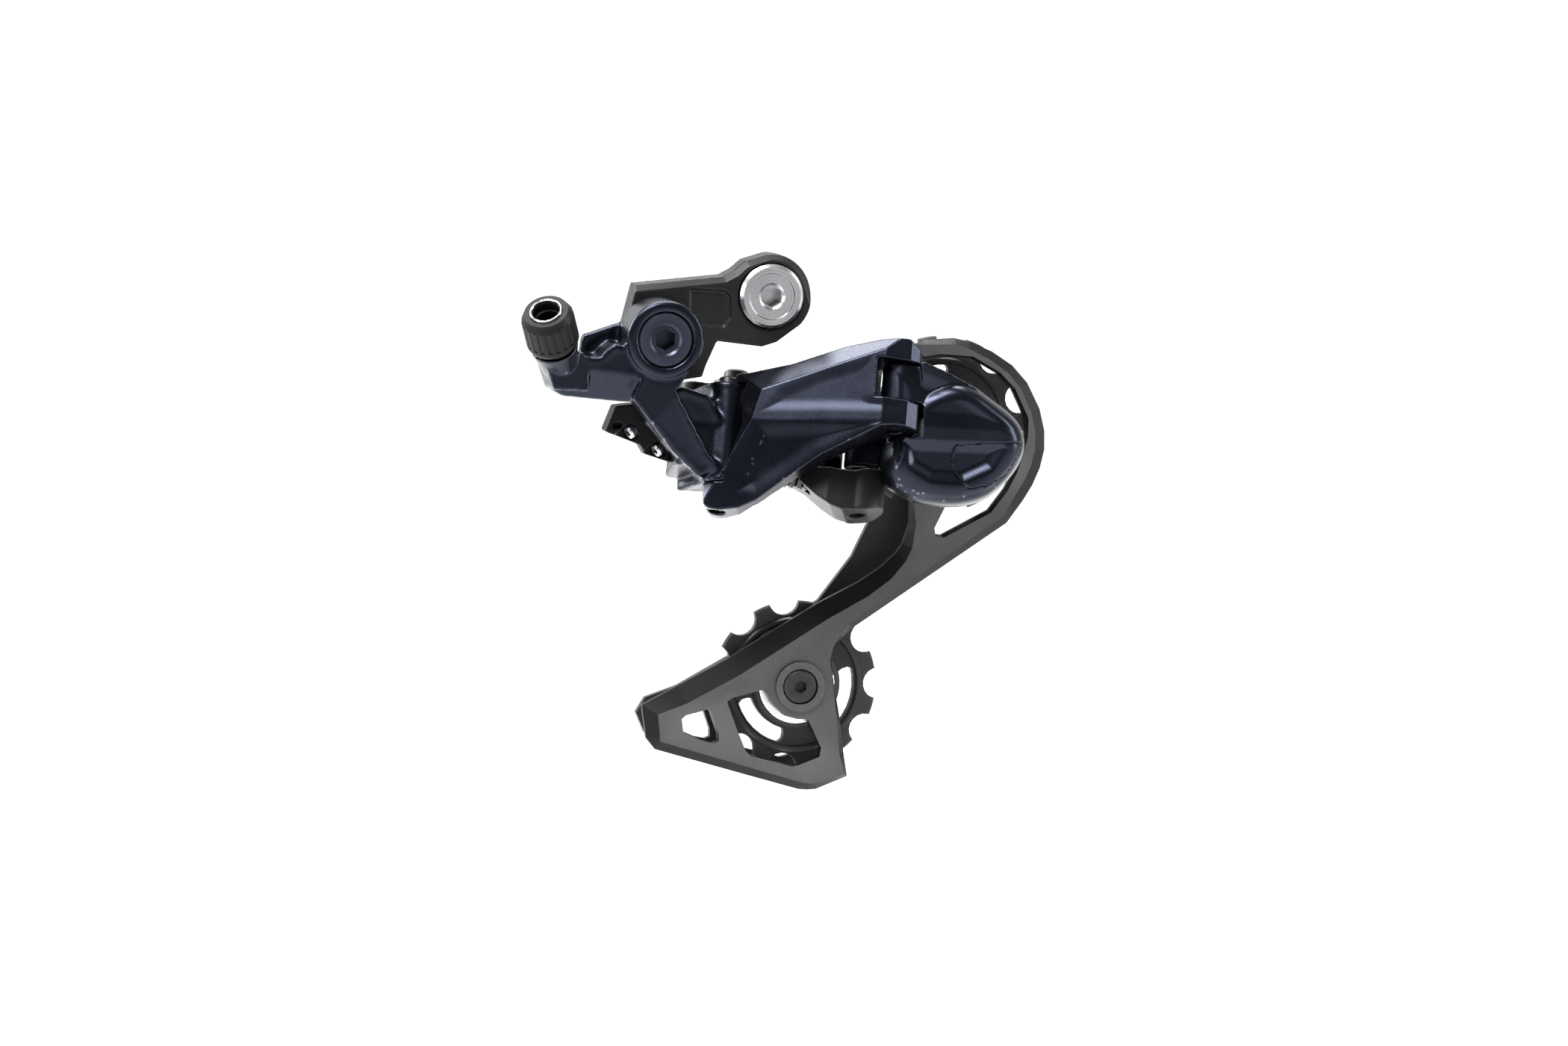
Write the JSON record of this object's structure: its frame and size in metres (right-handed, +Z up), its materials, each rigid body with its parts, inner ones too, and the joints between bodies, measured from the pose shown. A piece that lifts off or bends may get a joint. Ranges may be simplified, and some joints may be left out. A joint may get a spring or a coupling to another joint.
{
  "type": "rear derailleur",
  "caption": "Rear bicycle derailleur: hanger bracket, slanted parallelogram linkage and a sprung cage with guide and tension pulleys that moves and tensions the chain.",
  "frame": {"origin": "hanger bolt axis on the face that meets the frame's hanger", "axes": "X to the front of the bicycle, Y inboard towards the wheel along the hanger bolt, Z up"},
  "size_m": [0.147, 0.051, 0.1426],
  "materials": {
    "painted_body": "glossy blue-grey metallic paint",
    "black_alloy": "satin black anodised",
    "plate_grey": "dark grey anodised, fine grain",
    "plate_black": "satin black anodised",
    "machined_silver": "turned, bright",
    "dark_bolt": "dark coated, satin",
    "black_steel": "black coated, satin",
    "steel": "ground",
    "bright_screw": "bright zinc",
    "spring_steel": "dark phosphate",
    "pulley_plastic": "moulded, matt",
    "black_plastic": "moulded, satin",
    "liner_metal": "turned, bright",
    "seal_rubber": "smooth",
    "bush_metal": "ground"
  },
  "bodies": {
    "bracket": {"bracket_link": "black_alloy", "hanger_bolt": "machined_silver", "b_axle_bolt": "dark_bolt"},
    "b_knuckle": {"b_knuckle": "painted_body", "b_axle_bush": "bush_metal", "b_seal_ring": "seal_rubber", "b_spring": "spring_steel", "outer_b_pin": "steel", "inner_b_pin": "steel", "adjust_block": "black_plastic"},
    "barrel": {"barrel_grip": "black_plastic", "barrel_liner": "black_plastic", "barrel_ring": "liner_metal"},
    "high_limit_screw": {"high_limit_screw": "bright_screw"},
    "low_limit_screw": {"low_limit_screw": "bright_screw"},
    "b_tension_screw": {"b_tension_screw": "bright_screw"},
    "outer_link": {"outer_link": "painted_body", "return_spring": "spring_steel"},
    "inner_link": {"inner_link": "black_alloy", "cable_clamp_plate": "steel", "cable_clamp_bolt": "black_steel"},
    "p_knuckle": {"p_knuckle": "painted_body", "p_cap": "painted_body", "p_axle_bush": "bush_metal", "p_seal_ring": "seal_rubber", "p_spring": "spring_steel", "outer_p_pin": "steel", "inner_p_pin": "steel"},
    "cage": {"cage_outer_plate": "plate_grey", "cage_inner_plate": "plate_black", "p_axle": "steel", "guide_bolt": "black_steel", "tension_bolt": "black_steel", "guide_bush": "steel", "tension_bush": "steel", "guide_dust_caps": "machined_silver", "tension_dust_caps": "machined_silver"},
    "guide_pulley": {"guide_pulley": "pulley_plastic", "guide_bearing": "steel"},
    "tension_pulley": {"tension_pulley": "pulley_plastic", "tension_bearing": "steel"}
  },
  "joints": [
    {"name": "b_pivot", "type": "hinge", "parent": "bracket", "child": "b_knuckle", "pos_m": [-0.031, -0.008, -0.0097], "axis": [0, 1, 0], "range_deg": [0, 25], "stiffness_Nm_per_rad": 0.3, "springref_deg": -68.75},
    {"name": "link_swing", "type": "hinge", "parent": "b_knuckle", "child": "outer_link", "pos_m": [-0.0135, -0.011, -0.036], "axis": [0.1632, 0.342, 0.9254], "range_deg": [0, 54], "stiffness_Nm_per_rad": 0.35, "springref_deg": -57.3, "deforming": ["return_spring"]},
    {"name": "inner_swing", "type": "hinge", "parent": "b_knuckle", "child": "inner_link", "pos_m": [-0.01882, 0.0031, -0.04027], "axis": [0.1632, 0.342, 0.9254], "range_deg": [0, 54]},
    {"name": "knuckle_parallel", "type": "hinge", "parent": "outer_link", "child": "p_knuckle", "pos_m": [0.02859, -0.02684, -0.03757], "axis": [0.1632, 0.342, 0.9254], "range_deg": [-54, 0]},
    {"name": "cage_swing", "type": "hinge", "parent": "p_knuckle", "child": "cage", "pos_m": [0.04469, 0, -0.03677], "axis": [0, -1, 0], "range_deg": [0, 100], "stiffness_Nm_per_rad": 0.2, "springref_deg": -114.59},
    {"name": "guide_spin", "type": "hinge", "parent": "cage", "child": "guide_pulley", "pos_m": [0.04959, 0.0094, -0.03627], "axis": [0, 1, 0], "continuous": true},
    {"name": "tension_spin", "type": "hinge", "parent": "cage", "child": "tension_pulley", "pos_m": [0.01015, 0.0094, -0.10403], "axis": [0, 1, 0], "continuous": true},
    {"name": "barrel_turn", "type": "hinge", "parent": "b_knuckle", "child": "barrel", "pos_m": [-0.0606, -0.022, -0.0106], "axis": [-0.297, -0.5649, 0.7699], "range_deg": [-720, 720]},
    {"name": "high_screw_turn", "type": "hinge", "parent": "b_knuckle", "child": "high_limit_screw", "pos_m": [-0.0376, -0.0074, -0.035], "axis": [-0.799, -0.3196, -0.5094], "range_deg": [-720, 720]},
    {"name": "low_screw_turn", "type": "hinge", "parent": "b_knuckle", "child": "low_limit_screw", "pos_m": [-0.0304, -0.0074, -0.0398], "axis": [-0.799, -0.3196, -0.5094], "range_deg": [-720, 720]},
    {"name": "b_screw_turn", "type": "hinge", "parent": "b_knuckle", "child": "b_tension_screw", "pos_m": [-0.0395, -0.0044, -0.0204], "axis": [-1, 0, 0], "range_deg": [-720, 720]}
  ],
  "couplings": [
    {"joint": "inner_swing", "follows": "link_swing", "ratio": 1},
    {"joint": "knuckle_parallel", "follows": "link_swing", "ratio": -1}
  ]
}
